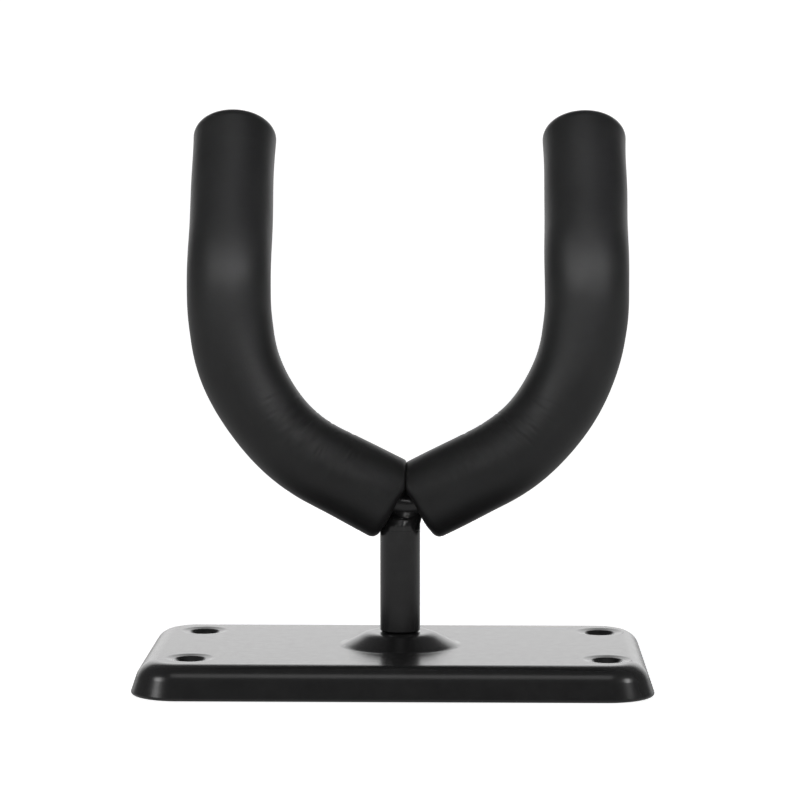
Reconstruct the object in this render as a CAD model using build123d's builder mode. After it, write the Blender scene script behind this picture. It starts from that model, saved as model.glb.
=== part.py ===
from build123d import *

import os
from math import cos, radians, sin, tan

# Wall guitar hanger: a pressed wall plate carries a short post, and a padded yoke on the post
# swivels to suit the headstock.  Millimetres.  The origin is the centre of the plate's wall
# face, +Z points away from the wall along the post, X runs along the plate, and the arms' tips
# lean to +Y, which is up when the hanger is on a wall.

# Wall plate, a pan pressed from sheet steel
plate_length = 102.3
plate_width = 57.7
plate_height = 6.5
plate_corner = 9.8
sheet = 1.5
draft_angle = 18.8
edge_radius = 4.2
rim_round = 0.5

# The boss, the screw holes and all that stands on the boss sit a little to one side of the
# middle of the plate
swivel_x = 1.1

# Screw holes, each at the bottom of a dimple near a corner of the plate
hole_spacing_x = 81.4
hole_spacing_y = 33.0
hole_diameter = 4.6
dimple_radius = 4.7
dimple_step_radius = 3.1
dimple_step_depth = 0.26
dimple_slope = 46.0
dimple_blends = [2.5, 0.5]
dimple_margin = 0.25

# Raised boss that the post stands on
boss_height = 2.65
boss_base_radius = 11.8
boss_top_radius = 6.7
boss_blends = [2.4, 4.5]
boss_margin = 2.0

# Post, turned from round bar, with a spigot that goes down through the boss
post_diameter = 8.0
post_top = 30.6
post_chamfer = 0.35
post_top_chamfer = 0.3
spigot_diameter = 6.0
spigot_end = 0.8
spigot_chamfer = 0.5
running_gap = 0.05

# Swivel hardware on the spigot, in the hollow under the boss
washer_diameter = 11.4
washer_bore = 6.2
friction_washer_thickness = 0.8
flat_washer_thickness = 1.0
disc_spring_thickness = 0.55
disc_spring_height = 0.95
nut_across_flats = 10.0
nut_height = 3.2
nut_chamfer_angle = 30.0

# Yoke, one bent round bar; its corners are where neighbouring straight runs would meet
rod_diameter = 6.0
yoke_offset = 1.5
foot_height = 34.2
foot_bend = 7.0
rise_angle = 26.6
knee_reach = 32.3
knee_bend = 35.5
steep_angle = 81.8
arm_reach = 35.6
ease_bend = 38.0
kick_height = 82.4
kick_bend = 20.0
kick_angle = 35.0
rod_kick_length = 30.2

# Weld bead between the post's top and the yoke's foot
weld_waist_height = 32.0
weld_top_height = 34.2
weld_length = 8.2
weld_top_width = 5.6

# Foam sleeves, closed at the tips and pressed together over the foot
sleeve_diameter = 16.6
sleeve_kick_length = 33.7
sleeve_start = 2.2
sleeve_tip_round = 2.0
sleeve_foot_round = 2.0
sleeve_foot_gap = 0.05

# Heights up the post axis that follow from the above
top_of_boss = plate_height + boss_height
under_boss = top_of_boss - sheet
flat_washer_top = under_boss - friction_washer_thickness - running_gap
disc_spring_top = flat_washer_top - flat_washer_thickness
nut_top = disc_spring_top - disc_spring_height

# What turns, turns about this axis, and is drawn on planes that are centred on it
swivel_axis = Axis((swivel_x, 0, 0), (0, 0, 1))
swivel_section = Plane(origin=(swivel_x, 0, 0), x_dir=(1, 0, 0), z_dir=(0, -1, 0))
yoke_x = swivel_x + yoke_offset

os.makedirs("parts", exist_ok=True)


def level(height):
    """Horizontal plane at a height, centred on the swivel axis."""
    return Plane(origin=(swivel_x, 0, height))


def arm_corners(side, kick_length):
    """Corners of one arm from the foot to its tip; side is -1 for the left, 1 for the right."""
    knee_height = foot_height + knee_reach * tan(radians(rise_angle))
    ease_height = knee_height + (arm_reach - knee_reach) * tan(radians(steep_angle))
    kick_way = Vector(0, sin(radians(kick_angle)), cos(radians(kick_angle)))
    kick_corner = Vector(yoke_x + side * arm_reach, 0, kick_height)
    return [
        Vector(yoke_x, 0, foot_height),
        Vector(yoke_x + side * knee_reach, 0, knee_height),
        Vector(yoke_x + side * arm_reach, 0, ease_height),
        kick_corner,
        kick_corner + kick_way * kick_length,
    ]


def bar(corners, bends, diameter):
    """Round bar along straight runs joined by bends, as a separate solid."""
    with BuildPart() as bent_bar:
        with BuildLine() as centre_line:
            FilletPolyline(*corners, radius=bends)
        with BuildSketch(Plane(origin=centre_line.line @ 0, z_dir=centre_line.line % 0)):
            Circle(diameter / 2)
        sweep()
    return bent_bar.part


def pressed_strip(points, blends):
    """Strip of sheet turned about Z, whose upper face follows the points inwards."""
    with BuildPart() as strip:
        with BuildSketch(Plane.XZ):
            with BuildLine():
                FilletPolyline(*points, radius=blends)
                offset(amount=sheet, side=Side.LEFT)
            make_face()
        revolve(axis=Axis.Z)
    return strip.part


def washer(bottom, thickness):
    """Flat ring round the spigot."""
    with BuildPart() as ring:
        with BuildSketch(level(bottom)):
            Circle(washer_diameter / 2)
            Circle(washer_bore / 2, mode=Mode.SUBTRACT)
        extrude(amount=thickness)
    return ring.part


def save(part, name):
    """Label a finished piece and write it to its own file."""
    part.label = name
    export_step(part, f"parts/{name}.step")


# ---- Base plate: the pan, then the boss and the dimples pressed into it ----

boss_strip = pressed_strip(
    [
        (boss_base_radius + boss_margin, plate_height),
        (boss_base_radius, plate_height),
        (boss_top_radius, top_of_boss),
        (spigot_diameter / 4, top_of_boss),
    ],
    boss_blends,
)

dimple_throat_radius = hole_diameter / 4
dimple_throat_drop = (dimple_step_radius - dimple_throat_radius) * tan(radians(dimple_slope))
dimple_strip = pressed_strip(
    [
        (dimple_radius + dimple_margin, plate_height),
        (dimple_radius, plate_height),
        (dimple_step_radius, plate_height - dimple_step_depth),
        (dimple_throat_radius, plate_height - dimple_step_depth - dimple_throat_drop),
    ],
    dimple_blends,
)

with BuildPart() as base_plate:
    with BuildSketch(Plane.XY):
        RectangleRounded(plate_length, plate_width, plate_corner)
    extrude(amount=plate_height, taper=draft_angle)
    fillet(base_plate.edges().group_by(Axis.Z)[-1], radius=edge_radius)
    offset(amount=-sheet, openings=base_plate.faces().sort_by(Axis.Z)[0])
    fillet(base_plate.faces().sort_by(Axis.Z)[0].outer_wire().edges(), radius=rim_round)

    # the flat top gives way to the turned strips, which run through the boss and the dimples
    with BuildSketch(level(plate_height)):
        Circle(boss_base_radius + boss_margin)
        with GridLocations(hole_spacing_x, hole_spacing_y, 2, 2):
            Circle(dimple_radius + dimple_margin)
    extrude(amount=-2 * sheet, mode=Mode.SUBTRACT)
    with Locations((swivel_x, 0)):
        add(boss_strip)
        with GridLocations(hole_spacing_x, hole_spacing_y, 2, 2):
            add(dimple_strip)

    # punched holes
    with BuildSketch(level(0)):
        Circle(spigot_diameter / 2 + running_gap)
        with GridLocations(hole_spacing_x, hole_spacing_y, 2, 2):
            Circle(hole_diameter / 2)
    extrude(amount=top_of_boss + sheet, mode=Mode.SUBTRACT)

save(base_plate.part, "base_plate")


# ---- Post: bar with a chamfered shoulder and a thinner spigot below it ----

with BuildPart() as post:
    with BuildSketch(level(top_of_boss + running_gap)):
        Circle(post_diameter / 2)
    extrude(amount=post_top - top_of_boss - running_gap)
    chamfer(post.edges().group_by(Axis.Z)[0], length=post_chamfer)
    chamfer(post.edges().group_by(Axis.Z)[-1], length=post_top_chamfer)
    with BuildSketch(level(spigot_end)):
        Circle(spigot_diameter / 2)
    extrude(amount=top_of_boss + post_chamfer - spigot_end)
    chamfer(post.edges().group_by(Axis.Z)[0], length=spigot_chamfer)

save(post.part, "post")


# ---- Swivel hardware: washers, disc spring and nut ----

friction_washer = washer(under_boss - friction_washer_thickness, friction_washer_thickness)
save(friction_washer, "friction_washer")

flat_washer = washer(disc_spring_top, flat_washer_thickness)
save(flat_washer, "flat_washer")

with BuildPart() as disc_spring:
    with BuildSketch(swivel_section):
        with BuildLine():
            Polyline(
                (washer_bore / 2, disc_spring_top - disc_spring_thickness),
                (washer_bore / 2, disc_spring_top),
                (washer_diameter / 2, nut_top + disc_spring_thickness),
                (washer_diameter / 2, nut_top),
                close=True,
            )
        make_face()
    revolve(axis=swivel_axis)

save(disc_spring.part, "disc_spring")

nut_corner_radius = nut_across_flats / 2 / cos(radians(30))
nut_face_radius = nut_across_flats / 2 - 0.2
nut_chamfer = (nut_corner_radius - nut_face_radius) * tan(radians(nut_chamfer_angle))

with BuildPart() as lock_nut:
    with BuildSketch(level(nut_top - nut_height)):
        RegularPolygon(nut_corner_radius, 6)
        Circle(spigot_diameter / 2, mode=Mode.SUBTRACT)
    extrude(amount=nut_height)
    with BuildSketch(swivel_section):
        with BuildLine():
            Polyline(
                (0, nut_top),
                (nut_face_radius, nut_top),
                (nut_corner_radius, nut_top - nut_chamfer),
                (nut_corner_radius, nut_top - nut_height + nut_chamfer),
                (nut_face_radius, nut_top - nut_height),
                (0, nut_top - nut_height),
                close=True,
            )
        make_face()
    revolve(axis=swivel_axis, mode=Mode.INTERSECT)

save(lock_nut.part, "lock_nut")


# ---- Yoke rod: one bar from the left tip, down through the foot, up to the right tip ----

left_arm = arm_corners(-1, rod_kick_length)
right_arm = arm_corners(1, rod_kick_length)
arm_bends = [knee_bend, ease_bend, kick_bend]

yoke_rod = bar(left_arm[:0:-1] + right_arm, arm_bends[::-1] + [foot_bend] + arm_bends, rod_diameter)
save(yoke_rod, "yoke_rod")


# ---- Yoke weld: a bead that spreads from the post's top to both sides of the foot ----

with BuildPart() as yoke_weld:
    with BuildSketch(level(post_top)):
        Circle(post_diameter / 2 - post_top_chamfer)
    with BuildSketch(level(weld_waist_height)):
        with Locations((yoke_offset / 3, 0)):
            Ellipse(weld_length / 2, post_diameter / 2 - post_top_chamfer)
    with BuildSketch(level(weld_top_height)):
        with Locations((yoke_offset / 2, 0)):
            Ellipse(weld_length / 2, weld_top_width / 2)
    loft()
    add(yoke_rod, mode=Mode.SUBTRACT)

save(yoke_weld.part, "yoke_weld")


# ---- Foam sleeves: closed at the tip, pushed together over the foot, dented by the post ----


def foam_sleeve(side):
    """Sleeve on one arm; its open end is pressed flat where it meets the other sleeve."""
    foot, *rest = arm_corners(side, sleeve_kick_length)
    open_end = foot + (rest[0] - foot).normalized() * sleeve_start
    foot_face = Plane(origin=(yoke_x + side * sleeve_foot_gap, 0, 0), z_dir=(side, 0, 0))
    with BuildPart() as sleeve:
        add(bar([open_end] + rest, arm_bends, sleeve_diameter))
        ends = sleeve.faces().filter_by(GeomType.PLANE).sort_by(Axis.Z)
        fillet(ends[0].edges(), radius=sleeve_foot_round)
        fillet(ends[-1].edges(), radius=sleeve_tip_round)
        add([yoke_rod, yoke_weld.part, post.part], mode=Mode.SUBTRACT)
        split(bisect_by=foot_face, keep=Keep.TOP)
    return sleeve.part


left_foam_sleeve = foam_sleeve(-1)
save(left_foam_sleeve, "left_foam_sleeve")

right_foam_sleeve = foam_sleeve(1)
save(right_foam_sleeve, "right_foam_sleeve")
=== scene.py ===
import math

import bmesh
import bpy
import numpy as np
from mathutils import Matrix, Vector


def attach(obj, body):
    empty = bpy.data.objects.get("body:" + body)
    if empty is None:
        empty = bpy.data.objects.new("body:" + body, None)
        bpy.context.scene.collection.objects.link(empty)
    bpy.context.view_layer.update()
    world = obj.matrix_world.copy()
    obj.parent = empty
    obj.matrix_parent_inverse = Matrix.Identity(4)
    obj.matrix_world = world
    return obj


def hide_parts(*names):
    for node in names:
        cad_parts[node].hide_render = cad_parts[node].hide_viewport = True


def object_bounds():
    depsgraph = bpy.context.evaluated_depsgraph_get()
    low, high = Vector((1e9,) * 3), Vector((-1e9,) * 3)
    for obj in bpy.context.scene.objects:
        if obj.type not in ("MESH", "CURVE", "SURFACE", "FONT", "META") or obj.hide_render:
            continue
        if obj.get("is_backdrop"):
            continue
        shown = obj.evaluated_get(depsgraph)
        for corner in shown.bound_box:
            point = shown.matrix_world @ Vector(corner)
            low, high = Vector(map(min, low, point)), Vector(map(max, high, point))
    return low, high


# Wall guitar hanger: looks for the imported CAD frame.  Blender's unit is the metre.  Lengths on
# the part are written in millimetres and turned into metres with MM where a mesh is made.  In a
# dictionary with the keys -1 and 1, -1 is the left arm and 1 the right one.

MM = 0.001

# Centre line of the bent bar inside the foam: its corners, the bends at them and its thickness
SWIVEL_X = 1.1
FOOT_ASIDE = 1.5
YOKE_X = SWIVEL_X + FOOT_ASIDE
FOOT_HEIGHT = 34.2
RISE_ANGLE = math.radians(26.6)
KNEE_REACH = 32.3
STEEP_ANGLE = math.radians(81.8)
ARM_REACH = 35.6
KICK_HEIGHT = 82.4
KICK_ANGLE = math.radians(35.0)
ARM_BENDS = (35.5, 38.0, 20.0)
BEND_STEPS = 60
ROD_RADIUS = 3.0

# Post and the weld on it.  The weld's outline goes from the post's side to its crown round the
# bar: WELD_NARROWING is how far in it has come at each share of its height in WELD_HEIGHTS.
POST_RADIUS = 4.0
POST_TOP = 30.6
WELD_SKIRT = 0.8
WELD_PROUD = 0.03
WELD_TOP = 33.6
WELD_CROWN = (3.6, 2.55)
WELD_HEIGHTS = (0.0, 0.26, 0.32, 0.57, 0.70, 1.0)
WELD_NARROWING = (0.0, 0.0, 0.04, 0.29, 0.80, 1.0)
WELD_SADDLE = 0.5
WELD_GRAIN = 0.004
WELD_RINGS = 44
WELD_POINTS = 144
WELD_SEED = 7

# Foam sleeves.  A swell is its size, its place along the arm and its width.  A row of folds is
# its count and the angle of its middle in radians, from the inner side of the bend.
SLEEVE_RADIUS = 8.3
SLEEVE_SWELLS = ((-0.30, 31.0, 13.0), (0.12, 63.0, 9.0), (0.28, 101.0, 7.0))
SLEEVE_LENGTH_PAST_KICK = {-1: 33.4, 1: 33.2}
SLEEVE_START = {-1: 2.8, 1: 2.2}
CONTACT_SHIFT = -0.3
CONTACT_GAP = 0.02
FOOT_SAG = {-1: 0.25, 1: 0.0}
SAG_LENGTH = 8.0
FOOT_HOLLOW = 0.35
FOOT_ROUND = 1.7
PRESSED_OUT = 1.5
PRESSED_LENGTH = 4.0
PRESSED_FROM = (0.5, 7.0)
BORE_CHAMFER = 0.5
DENT_CLEARANCE = 0.12
DENT_REACH = 3.0
DENT_TAPER = 0.4
CRUSH_SOFTNESS = 0.12
TIP_ROUND = 2.8
TIP_DOME = 0.45
RING_POINTS = 168
RING_STEP = 0.4
FINE_STEP = 0.2
FINE_SPANS = ((12.0, 50.0), (60.0, 80.0))
FOOT_RINGS = 14
FOOT_EDGE_RINGS = 12
TIP_EDGE_RINGS = 16
TIP_RINGS = 22
KNEE_ROWS = ((34, 1.15), (30, 0.8), (6, 0.0), (34, -1.15), (30, -0.8))
KNEE_SPAN = (11.0, 38.0)
KNEE_DEPTH = 0.12
KICK_ROWS = ((9, -1.3), (8, -1.9))
KICK_SPAN = (64.0, 76.0)
KICK_DEPTH = 0.10
WAVES = 9
WAVE_HEIGHT = 0.035
SLEEVE_SEED = {-1: 40, 1: 42}

# Camera
CAMERA_PLACE = (0.01418, -0.5958, 0.10724)
CAMERA_YAW = math.radians(1.26)
CAMERA_PITCH = math.radians(4.941)
CAMERA_LENS = 135.0

# Studio, in metres: the lit backdrop behind the part, the dim room round it and the floor.  The
# camera sees the first two as BACKDROP_SEEN and the floor as FLOOR_SEEN.
BACKDROP_LIGHT = 1.9
BACKDROP_TURN = (0.60, 0.92)
BACKDROP_TOP = (0.52, 0.42)
BACKDROP_SEEN = 1.1
ROOM_LIGHT = 0.18
FLOOR_LIGHT = 0.5
FLOOR_SEEN = 0.9
FLOOR_REACH = 6.0
FLOOR_DROP = 0.0002
GLOW_DROP = 0.0003

# Softboxes: name, azimuth and elevation in degrees, distance, size, light, target and spread
SOFTBOXES = [
    ("top_softbox", 0.0, 60.0, 0.9, (0.60, 0.32), 1.2, (0.0, 0.0, 0.03), 180.0),
    ("left_softbox", -60.0, 30.0, 0.16, (0.100, 0.075), 0.20, (-0.050, -0.026, 0.003), 26.0),
    ("right_softbox", 65.0, 33.0, 0.16, (0.045, 0.045), 0.22, (0.050, -0.026, 0.003), 26.0),
]

# Narrow lamps on the weld: angles in degrees, lengths in metres
WELD_LAMP_TURNS = (-7.0, 0.0, 7.0)
WELD_LAMP_RISE = 36.0
WELD_LAMP_DISTANCE = 0.30
WELD_LAMP_SIZE = (0.050, 0.004)
WELD_LAMP_LIGHT = 0.040
WELD_LAMP_TARGET = (0.0015, -0.004, 0.0302)
WELD_LAMP_SPREAD = 1.0

# Narrow lamps on the arms' upper bends, a fan of them on each; the offset is in millimetres
KICK_LAMPS = {-1: 0.48, 1: 0.80}
KICK_LAMP_TURNS = (-48.0, -24.0, 0.0, 24.0, 48.0)
KICK_LAMP_RISE = {-1: 17.0, 1: 22.0}
KICK_LAMP_DISTANCE = 0.9
KICK_LAMP_SIZE = (0.20, 0.05)
KICK_LAMP_OFFSET = (2.0, 9.0)
KICK_LAMP_SPREAD = 7.0

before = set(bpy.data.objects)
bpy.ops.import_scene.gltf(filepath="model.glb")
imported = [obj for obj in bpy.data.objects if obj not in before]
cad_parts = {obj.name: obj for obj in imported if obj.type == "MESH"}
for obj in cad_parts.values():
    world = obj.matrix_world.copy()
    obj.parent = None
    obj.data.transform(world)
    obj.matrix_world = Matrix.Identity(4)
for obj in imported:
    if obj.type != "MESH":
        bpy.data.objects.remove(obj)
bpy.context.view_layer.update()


# ---------------------------------------------------------------- centre lines


def unit(v):
    """The direction of v, with length 1."""
    return v / np.linalg.norm(v)


def arm_corners(side):
    """Corners of one arm's centre line, from the foot to the sleeve's tip, in millimetres."""
    knee_height = FOOT_HEIGHT + KNEE_REACH * math.tan(RISE_ANGLE)
    ease_height = knee_height + (ARM_REACH - KNEE_REACH) * math.tan(STEEP_ANGLE)
    kick_corner = np.array([YOKE_X + side * ARM_REACH, 0.0, KICK_HEIGHT])
    kick_way = np.array([0.0, math.sin(KICK_ANGLE), math.cos(KICK_ANGLE)])
    return [
        np.array([YOKE_X, 0.0, FOOT_HEIGHT]),
        np.array([YOKE_X + side * KNEE_REACH, 0.0, knee_height]),
        np.array([YOKE_X + side * ARM_REACH, 0.0, ease_height]),
        kick_corner,
        kick_corner + kick_way * SLEEVE_LENGTH_PAST_KICK[side],
    ]


class BentLine:
    """Straight runs joined by tangent arcs; place and direction at a distance along it."""

    def __init__(self, corners, bends):
        points, ways = [corners[0]], [unit(corners[1] - corners[0])]
        for before, corner, after, radius in zip(corners, corners[1:], corners[2:], bends):
            way_in, way_out = unit(corner - before), unit(after - corner)
            turn = math.acos(float(np.clip(way_in @ way_out, -1.0, 1.0)))
            start = corner - way_in * radius * math.tan(turn / 2)
            toward = unit(way_out - way_in * (way_in @ way_out))
            for a in np.linspace(0.0, turn, BEND_STEPS):
                across = toward * radius * (1 - math.cos(a))
                points.append(start + way_in * radius * math.sin(a) + across)
                ways.append(way_in * math.cos(a) + toward * math.sin(a))
        points.append(corners[-1])
        ways.append(ways[-1])
        self.points, self.ways = np.array(points), np.array(ways)
        steps = np.linalg.norm(np.diff(self.points, axis=0), axis=1)
        self.along = np.concatenate([[0.0], np.cumsum(steps)])
        self.length = float(self.along[-1])

    def at(self, s):
        """Point and unit direction at distance s; it runs straight on past either end."""
        inside = float(np.clip(s, 0.0, self.length))
        point = np.array([np.interp(inside, self.along, self.points[:, i]) for i in range(3)])
        way = unit(np.array([np.interp(inside, self.along, self.ways[:, i]) for i in range(3)]))
        return point + way * (s - inside), way


# ---------------------------------------------------------------- mesh helpers


def smooth_step(x, low, high):
    """Rises smoothly from 0 at low to 1 at high."""
    t = np.clip((x - low) / (high - low), 0.0, 1.0)
    return t * t * (3 - 2 * t)


def hump(x, middle, width):
    """Bell curve: 1 at its middle, and near 0 two widths away."""
    return np.exp(-(((x - middle) / width) ** 2))


def make_mesh(name, points_mm, faces, material):
    """Smooth-shaded object from points in millimetres, with its normals made to face outwards."""
    mesh = bpy.data.meshes.new(name)
    mesh.from_pydata([tuple(p) for p in np.asarray(points_mm) * MM], [], faces)
    bm = bmesh.new()
    bm.from_mesh(mesh)
    bmesh.ops.recalc_face_normals(bm, faces=bm.faces)
    bm.to_mesh(mesh)
    bm.free()
    mesh.polygons.foreach_set("use_smooth", [True] * len(mesh.polygons))
    mesh.materials.append(material)
    piece = bpy.data.objects.new(name, mesh)
    bpy.context.scene.collection.objects.link(piece)
    return piece


def ring_faces(rings, around, closed_start, closed_end):
    """Quads between neighbouring rings; the ends fan into a last single point where closed."""
    faces = []
    for i in range(rings - 1):
        for j in range(around):
            k = (j + 1) % around
            faces.append((i * around + j, i * around + k, (i + 1) * around + k, (i + 1) * around + j))
    last = rings * around
    if closed_start:
        faces += [(last, (j + 1) % around, j) for j in range(around)]
        last += 1
    if closed_end:
        base = (rings - 1) * around
        faces += [(last, base + j, base + (j + 1) % around) for j in range(around)]
    return faces


# ---------------------------------------------------------------- materials


class Nodes:
    """Short way to add and link shader nodes."""

    def __init__(self, name):
        self.material = bpy.data.materials.new(name)
        self.material.use_nodes = True
        self.tree = self.material.node_tree
        self.shader = self.tree.nodes["Principled BSDF"]

    def add(self, kind, **values):
        node = self.tree.nodes.new(kind)
        for key, value in values.items():
            if key in node.inputs:
                node.inputs[key].default_value = value
            else:
                setattr(node, key, value)
        return node

    def link(self, source, output, target, socket):
        self.tree.links.new(source.outputs[output], target.inputs[socket])

    def noise(self, scale, detail=3.0, roughness=0.5):
        place = self.add("ShaderNodeTexCoord")
        noise = self.add("ShaderNodeTexNoise", Scale=scale, Detail=detail, Roughness=roughness)
        self.link(place, "Object", noise, "Vector")
        return noise

    def ramp(self, source, output, low, high):
        ramp = self.add("ShaderNodeValToRGB")
        ramp.color_ramp.elements[0].position = 0.3
        ramp.color_ramp.elements[1].position = 0.7
        ramp.color_ramp.elements[0].color = (*low, 1.0)
        ramp.color_ramp.elements[1].color = (*high, 1.0)
        self.link(source, output, ramp, "Fac")
        return ramp

    def spread(self, source, output, low, high):
        spread = self.add("ShaderNodeMapRange")
        spread.inputs["To Min"].default_value = low
        spread.inputs["To Max"].default_value = high
        self.link(source, output, spread, "Value")
        return spread

    def bump(self, source, output, height, under=None):
        bump = self.add("ShaderNodeBump", Strength=1.0, Distance=height)
        self.link(source, output, bump, "Height")
        if under is not None:
            self.link(under, "Normal", bump, "Normal")
        return bump


def foam_material():
    """Closed-cell rubber foam: matte and nearly black, with a fine skin and faint mottling."""
    n = Nodes("foam")
    mottle = n.noise(170.0, 4.0)
    colour = n.ramp(mottle, "Fac", (0.009, 0.009, 0.0095), (0.013, 0.013, 0.0135))
    n.link(colour, "Color", n.shader, "Base Color")
    rough = n.spread(n.noise(900.0, 3.0), "Fac", 0.44, 0.50)
    n.link(rough, "Result", n.shader, "Roughness")
    pores = n.noise(3800.0, 2.0, 0.6)
    skin = n.noise(900.0, 4.0, 0.6)
    fine = n.bump(pores, "Fac", 0.000012)
    both = n.bump(skin, "Fac", 0.00003, fine)
    n.link(both, "Normal", n.shader, "Normal")
    n.shader.inputs["Specular IOR Level"].default_value = 0.45
    n.shader.inputs["Sheen Weight"].default_value = 0.02
    n.shader.inputs["Sheen Roughness"].default_value = 0.35
    return n.material


def powder_coat_material(name, roughness):
    """Black powder coat: a satin skin with the slight orange peel of sprayed and baked paint."""
    n = Nodes(name)
    mottle = n.noise(240.0, 3.0)
    colour = n.ramp(mottle, "Fac", (0.017, 0.017, 0.0175), (0.023, 0.023, 0.0235))
    n.link(colour, "Color", n.shader, "Base Color")
    rough = n.spread(n.noise(600.0, 3.0), "Fac", roughness - 0.02, roughness + 0.03)
    n.link(rough, "Result", n.shader, "Roughness")
    peel = n.noise(1500.0, 2.0, 0.45)
    n.link(n.bump(peel, "Fac", 0.0000035), "Normal", n.shader, "Normal")
    n.shader.inputs["Specular IOR Level"].default_value = 0.5
    return n.material


def zinc_material():
    """Bright zinc plate with fine turning marks."""
    n = Nodes("zinc")
    mottle = n.noise(500.0, 4.0)
    colour = n.ramp(mottle, "Fac", (0.50, 0.51, 0.53), (0.66, 0.67, 0.68))
    n.link(colour, "Color", n.shader, "Base Color")
    rough = n.spread(n.noise(1200.0, 3.0), "Fac", 0.24, 0.40)
    n.link(rough, "Result", n.shader, "Roughness")
    n.link(n.bump(n.noise(2500.0, 3.0), "Fac", 0.000005), "Normal", n.shader, "Normal")
    n.shader.inputs["Metallic"].default_value = 1.0
    return n.material


def nylon_material():
    """Natural nylon: milky and slightly waxy."""
    n = Nodes("nylon")
    mottle = n.noise(400.0, 3.0)
    colour = n.ramp(mottle, "Fac", (0.74, 0.72, 0.65), (0.82, 0.80, 0.74))
    n.link(colour, "Color", n.shader, "Base Color")
    rough = n.spread(n.noise(900.0, 3.0), "Fac", 0.38, 0.5)
    n.link(rough, "Result", n.shader, "Roughness")
    n.shader.inputs["Subsurface Weight"].default_value = 0.2
    n.shader.inputs["Subsurface Scale"].default_value = 0.002
    return n.material


foam = foam_material()
powder_coat = powder_coat_material("powder_coat", 0.24)
bead_coat = powder_coat_material("powder_coat_on_weld", 0.15)
zinc = zinc_material()
nylon = nylon_material()


def paint(node, material):
    """Give a CAD node its material."""
    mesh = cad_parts[node].data
    mesh.materials.clear()
    mesh.materials.append(material)


for node in ("base_plate", "post", "yoke_rod", "yoke_weld"):
    paint(node, powder_coat)
for node in ("flat_washer", "disc_spring", "lock_nut"):
    paint(node, zinc)
paint("friction_washer", nylon)


# ---------------------------------------------------------------- foam sleeves


def sleeve_radius(s):
    """Outer radius in millimetres at a distance along the arm."""
    radius = SLEEVE_RADIUS
    for size, middle, width in SLEEVE_SWELLS:
        radius += size * hump(s, middle, width)
    return radius


class Creases:
    """Short fine folds across the squeezed side of a bend, in uneven rows.

    Lengths are in millimetres and angles in radians.  Spots are along the arm; the middle, reach
    and wave are angles round it; the tilt and bow skew and bend a fold's line.
    """

    def __init__(self, rng, rows, span, depth):
        start, end = span
        self.folds = []
        for count, row_middle in rows:
            for spot in np.linspace(start, end, count) + rng.normal(0.0, 0.45, count):
                along = float(np.clip((spot - start) / (end - start), 0.03, 0.97))
                self.folds.append({
                    "spot": spot,
                    "middle": row_middle + rng.normal(0.0, 0.16),
                    "reach": rng.uniform(0.22, 0.55),
                    "tilt": rng.normal(0.0, 0.45) + 0.5 * math.copysign(1.0, row_middle),
                    "bow": rng.normal(0.0, 0.5),
                    "wave": rng.uniform(0.0, 6.28),
                    "depth": depth * math.sin(math.pi * along) ** 0.6 * rng.uniform(0.3, 1.0),
                    "width": rng.uniform(0.24, 0.42),
                })

    def offset(self, s, theta):
        """How far the folds move the skin out at distance s, for each angle in theta."""
        total = np.zeros_like(theta)
        for fold in self.folds:
            if abs(s - fold["spot"]) > 4.0:
                continue
            turn = np.angle(np.exp(1j * (theta - fold["middle"])))
            course = fold["spot"] + fold["tilt"] * turn + fold["bow"] * turn**2
            course = course + 0.10 * np.sin(7 * turn + fold["wave"])
            away = (s - course) / fold["width"]
            window = 1.0 - smooth_step(np.abs(turn), fold["reach"] * 0.3, fold["reach"])
            shape = -1.0 / (1.0 + away**2) ** 1.5 + 0.4 * np.exp(-((np.abs(away) - 2.0) ** 2))
            total += fold["depth"] * window * shape
        return total


def soft_floor(x, floor, softness):
    """x where it is well above floor, and never under it."""
    return floor + softness * np.logaddexp(0.0, (x - floor) / softness)


def quarter_turn(steps):
    """Angles of the rings round a rounded edge, after its first one."""
    return np.linspace(0.0, math.pi / 2, steps)[1:]


def sleeve_profile(start, end):
    """Rings from the bore, over the foot face, along the outside and over the tip.

    A ring is its distance along the arm, the surface it is on and a value.  The value is how far
    the ring is outside the bar (bore), its share of the face's radius (foot, tip), or how far it
    is inside the sleeve's outer radius (side).
    """
    profile = [(start + 5.0, "bore", 0.0), (start + 1.0, "bore", 0.0), (start + 0.2, "bore", 0.25)]
    for t in np.linspace(0.0, 1.0, FOOT_RINGS):
        profile.append((start - FOOT_HOLLOW * math.sin(math.pi * t), "foot", t))
    for a in quarter_turn(FOOT_EDGE_RINGS):
        profile.append((start + FOOT_ROUND * (1 - math.cos(a)), "side", FOOT_ROUND * (1 - math.sin(a))))
    side_start, side_end = start + FOOT_ROUND, end - TIP_ROUND
    s = side_start
    while s < side_end - 0.3:
        fine = any(low < s < high for low, high in FINE_SPANS)
        s += FINE_STEP if fine else RING_STEP
        profile.append((min(s, side_end), "side", 0.0))
    for a in quarter_turn(TIP_EDGE_RINGS):
        profile.append((side_end + TIP_ROUND * math.sin(a), "side", TIP_ROUND * (1 - math.cos(a))))
    for t in np.linspace(1.0, 0.0, TIP_RINGS)[1:-1]:
        profile.append((end + TIP_DOME * (1 - t**2), "tip", t))
    return profile


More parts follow.
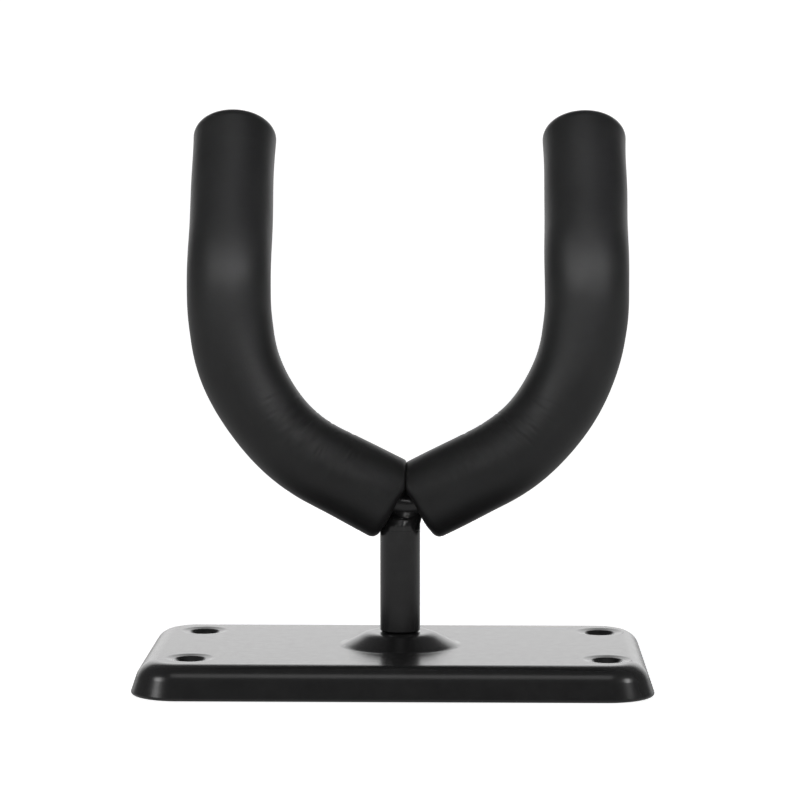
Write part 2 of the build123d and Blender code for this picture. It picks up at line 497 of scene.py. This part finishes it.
def flatten_foot(cloud, side):
    """Flatten a foot on its twin, and let the post's top dent it from below."""
    contact = YOKE_X + CONTACT_SHIFT
    past = side * (cloud[:, 0] - contact)
    cloud[:, 0] = contact + side * soft_floor(past, CONTACT_GAP, CRUSH_SOFTNESS)
    narrowing = np.clip(cloud[:, 2] - POST_TOP, 0.0, None) * DENT_TAPER
    wide = np.clip(POST_RADIUS + DENT_CLEARANCE - narrowing, 0.5, None)
    chord = np.sqrt(np.clip(wide**2 - cloud[:, 1] ** 2, 0.0, None))
    near = (chord > 0) & (cloud[:, 2] < POST_TOP + DENT_REACH)
    beside = side * (cloud[near, 0] - SWIVEL_X)
    cloud[near, 0] = SWIVEL_X + side * soft_floor(beside, chord[near], CRUSH_SOFTNESS)


def foam_sleeve(side):
    """Moulded foam tube on one arm: closed round tip, squeezed knee, foot pressed on its twin."""
    line = BentLine(arm_corners(side), ARM_BENDS)
    rng = np.random.default_rng(SLEEVE_SEED[side])
    start, end = SLEEVE_START[side], line.length

    theta = np.linspace(0.0, 2 * math.pi, RING_POINTS, endpoint=False)
    knee_creases = Creases(rng, KNEE_ROWS, KNEE_SPAN, KNEE_DEPTH)
    kick_creases = Creases(rng, KICK_ROWS, KICK_SPAN, KICK_DEPTH)
    waves = [(rng.uniform(0.05, 0.22), rng.integers(1, 4), rng.uniform(0, 6.28)) for _ in range(WAVES)]

    points = []
    inner = None
    for s, kind, value in sleeve_profile(start, end):
        place, way = line.at(s)
        if inner is None:
            inner = unit(np.array([-side * way[2], 0.0, side * way[0]]))
        inner = unit(inner - way * (inner @ way))
        front = np.cross(way, inner) * side
        outside = sleeve_radius(s)
        if kind == "bore":
            radius = np.full_like(theta, ROD_RADIUS + value)
        elif kind == "foot":
            mouth = ROD_RADIUS + BORE_CHAMFER
            radius = np.full_like(theta, mouth + (outside - FOOT_ROUND - mouth) * value)
        elif kind == "tip":
            radius = np.full_like(theta, (outside - TIP_ROUND) * value)
        else:
            radius = np.full_like(theta, outside - value)
            underside = smooth_step(-np.cos(theta), 0.0, 1.0)
            radius += FOOT_SAG[side] * hump(s - start, 0.0, SAG_LENGTH) * underside
            relief = knee_creases.offset(s, theta) + kick_creases.offset(s, theta)
            for pace, lobes, phase in waves:
                along = np.sin(pace * s * 2 + phase)
                relief += WAVE_HEIGHT * along * np.cos(lobes * theta + 2 * phase)
            radius = radius + relief * (1.0 - min(1.0, value / FOOT_ROUND))
        ring = place + radius[:, None] * (np.cos(theta)[:, None] * inner + np.sin(theta)[:, None] * front)
        upper = smooth_step(radius * np.cos(theta), *PRESSED_FROM)
        squeezed = PRESSED_OUT * upper * hump(s - start, 0.0, PRESSED_LENGTH)
        points.append(ring - squeezed[:, None] * way)
    rings = len(points)
    cloud = np.concatenate(points)
    tip = line.at(end + TIP_DOME)[0]
    cloud = np.vstack([cloud, tip])
    flatten_foot(cloud, side)

    name = "left_foam" if side < 0 else "right_foam"
    faces = ring_faces(rings, RING_POINTS, False, True)
    piece = make_mesh(name, cloud, faces, foam)
    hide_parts("left_foam_sleeve" if side < 0 else "right_foam_sleeve")
    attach(piece, "yoke")


for side in (-1, 1):
    foam_sleeve(side)


# ---------------------------------------------------------------- weld


def weld_bead():
    """Bead that joins the yoke's foot to the top of the post, with a sloped, rippled shoulder."""
    rng = np.random.default_rng(WELD_SEED)
    turn = np.linspace(0.0, 2 * math.pi, WELD_POINTS, endpoint=False)
    ripple = 0.05 * np.abs(np.sin(7.5 * turn + 0.4)) + 0.03 * np.sin(3 * turn + 1.0)
    round_way = np.stack([np.cos(turn), np.sin(turn)], axis=1)
    foot = (SWIVEL_X, 0.0) + (POST_RADIUS + WELD_PROUD) * round_way
    crown = (YOKE_X, 0.0) + WELD_CROWN * round_way
    base = POST_TOP - WELD_SKIRT
    cloud = []
    for h in np.linspace(0.0, 1.0, WELD_RINGS):
        ring = foot + (crown - foot) * np.interp(h, WELD_HEIGHTS, WELD_NARROWING)
        saddle = WELD_SADDLE * np.abs(ring[:, 0] - YOKE_X) * h**3
        height = base + (WELD_TOP - base) * h + ripple * hump(h, 0.5, 0.2) + saddle
        cloud.append(np.column_stack([ring, height]))
    cloud = np.concatenate(cloud)
    cloud += rng.normal(0.0, WELD_GRAIN, cloud.shape)
    ends = [[SWIVEL_X, 0.0, base], [YOKE_X, 0.0, WELD_TOP]]
    faces = ring_faces(WELD_RINGS, WELD_POINTS, True, True)
    piece = make_mesh("weld_bead", np.vstack([cloud, ends]), faces, bead_coat)
    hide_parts("yoke_weld")
    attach(piece, "yoke")


weld_bead()


# ---------------------------------------------------------------- studio


def studio_world():
    """White to the camera; to the part, a lit backdrop behind and a dim room elsewhere."""
    world = bpy.data.worlds.new("studio")
    bpy.context.scene.world = world
    world.use_nodes = True
    tree = world.node_tree
    tree.nodes.clear()
    nodes, links = tree.nodes, tree.links
    place = nodes.new("ShaderNodeTexCoord")
    split = nodes.new("ShaderNodeSeparateXYZ")
    links.new(place.outputs["Generated"], split.inputs["Vector"])

    def spread(output, low, high):
        node = nodes.new("ShaderNodeMapRange")
        node.interpolation_type = "SMOOTHSTEP"
        node.inputs["From Min"].default_value = low
        node.inputs["From Max"].default_value = high
        links.new(split.outputs[output], node.inputs["Value"])
        return node.outputs["Result"]

    behind = spread("Y", *BACKDROP_TURN)
    below_top = spread("Z", *BACKDROP_TOP)
    backdrop = nodes.new("ShaderNodeMath")
    backdrop.operation = "MULTIPLY"
    links.new(behind, backdrop.inputs[0])
    links.new(below_top, backdrop.inputs[1])
    room = nodes.new("ShaderNodeMath")
    room.operation = "MULTIPLY_ADD"
    links.new(backdrop.outputs["Value"], room.inputs[0])
    room.inputs[1].default_value = BACKDROP_LIGHT
    room.inputs[2].default_value = ROOM_LIGHT
    seen = nodes.new("ShaderNodeBackground")
    seen.inputs["Color"].default_value = (1.0, 1.0, 1.0, 1.0)
    seen.inputs["Strength"].default_value = BACKDROP_SEEN
    felt = nodes.new("ShaderNodeBackground")
    links.new(room.outputs["Value"], felt.inputs["Strength"])
    path = nodes.new("ShaderNodeLightPath")
    mix = nodes.new("ShaderNodeMixShader")
    links.new(path.outputs["Is Camera Ray"], mix.inputs["Fac"])
    links.new(felt.outputs["Background"], mix.inputs[1])
    links.new(seen.outputs["Background"], mix.inputs[2])
    out = nodes.new("ShaderNodeOutputWorld")
    links.new(mix.outputs["Shader"], out.inputs["Surface"])


def softbox(name, azimuth, elevation, distance, size, light, target, spread):
    """Rectangular light aimed at its target; azimuth is from straight in front, + to the right."""
    turn, rise = math.radians(azimuth), math.radians(elevation)
    way = Vector((math.sin(turn) * math.cos(rise), -math.cos(turn) * math.cos(rise), math.sin(rise)))
    data = bpy.data.lights.new(name, "AREA")
    data.shape = "RECTANGLE"
    data.size, data.size_y = size
    data.energy = light * math.pi * size[0] * size[1]
    data.spread = math.radians(spread)
    lamp = bpy.data.objects.new(name, data)
    lamp.location = Vector(target) + way * distance
    lamp.rotation_mode = "QUATERNION"
    lamp.rotation_quaternion = (-way).to_track_quat("-Z", "Y")
    lamp.visible_camera = False
    bpy.context.scene.collection.objects.link(lamp)


def floor_sheet(name, drop):
    """Large level square just under the part."""
    bm = bmesh.new()
    bmesh.ops.create_grid(bm, x_segments=1, y_segments=1, size=FLOOR_REACH)
    mesh = bpy.data.meshes.new(name)
    bm.to_mesh(mesh)
    bm.free()
    sheet = bpy.data.objects.new(name, mesh)
    sheet.location = (0.0, 0.0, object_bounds()[0].z - drop)
    bpy.context.scene.collection.objects.link(sheet)
    sheet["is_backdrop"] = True
    return sheet


def pale_floor():
    """White floor that the camera sees, and just under it a dimmer one that lights the part."""
    floor = floor_sheet("floor", FLOOR_DROP)
    n = Nodes("floor")
    n.shader.inputs["Base Color"].default_value = (0.8, 0.8, 0.8, 1.0)
    n.shader.inputs["Roughness"].default_value = 1.0
    n.shader.inputs["Emission Color"].default_value = (1.0, 1.0, 1.0, 1.0)
    n.shader.inputs["Emission Strength"].default_value = FLOOR_SEEN
    n.shader.inputs["Specular IOR Level"].default_value = 0.0
    floor.data.materials.append(n.material)
    floor.visible_glossy = False
    floor.visible_diffuse = False

    glow = floor_sheet("floor_glow", GLOW_DROP)
    n = Nodes("floor_glow")
    n.shader.inputs["Base Color"].default_value = (0.0, 0.0, 0.0, 1.0)
    n.shader.inputs["Specular IOR Level"].default_value = 0.0
    n.shader.inputs["Emission Color"].default_value = (1.0, 1.0, 1.0, 1.0)
    n.shader.inputs["Emission Strength"].default_value = FLOOR_LIGHT
    glow.data.materials.append(n.material)
    glow.visible_camera = False


studio_world()
pale_floor()
for box in SOFTBOXES:
    softbox(*box)
for azimuth in WELD_LAMP_TURNS:
    softbox(
        "weld_lamp", azimuth, WELD_LAMP_RISE, WELD_LAMP_DISTANCE, WELD_LAMP_SIZE,
        WELD_LAMP_LIGHT, WELD_LAMP_TARGET, WELD_LAMP_SPREAD,
    )
for side, light in KICK_LAMPS.items():
    out, up = KICK_LAMP_OFFSET
    kick = (MM * (YOKE_X + side * (ARM_REACH + out)), 0.0, MM * (KICK_HEIGHT + up))
    share = light / len(KICK_LAMP_TURNS)
    for azimuth in KICK_LAMP_TURNS:
        softbox(
            "kick_lamp", azimuth, KICK_LAMP_RISE[side], KICK_LAMP_DISTANCE, KICK_LAMP_SIZE,
            share, kick, KICK_LAMP_SPREAD,
        )

camera_data = bpy.data.cameras.new("camera")
camera_data.lens = CAMERA_LENS
camera = bpy.data.objects.new("camera", camera_data)
camera.location = CAMERA_PLACE
camera.rotation_euler = (math.pi / 2 - CAMERA_PITCH, 0.0, CAMERA_YAW)
bpy.context.scene.collection.objects.link(camera)
bpy.context.scene.camera = camera
bpy.context.scene.view_settings.view_transform = "Standard"
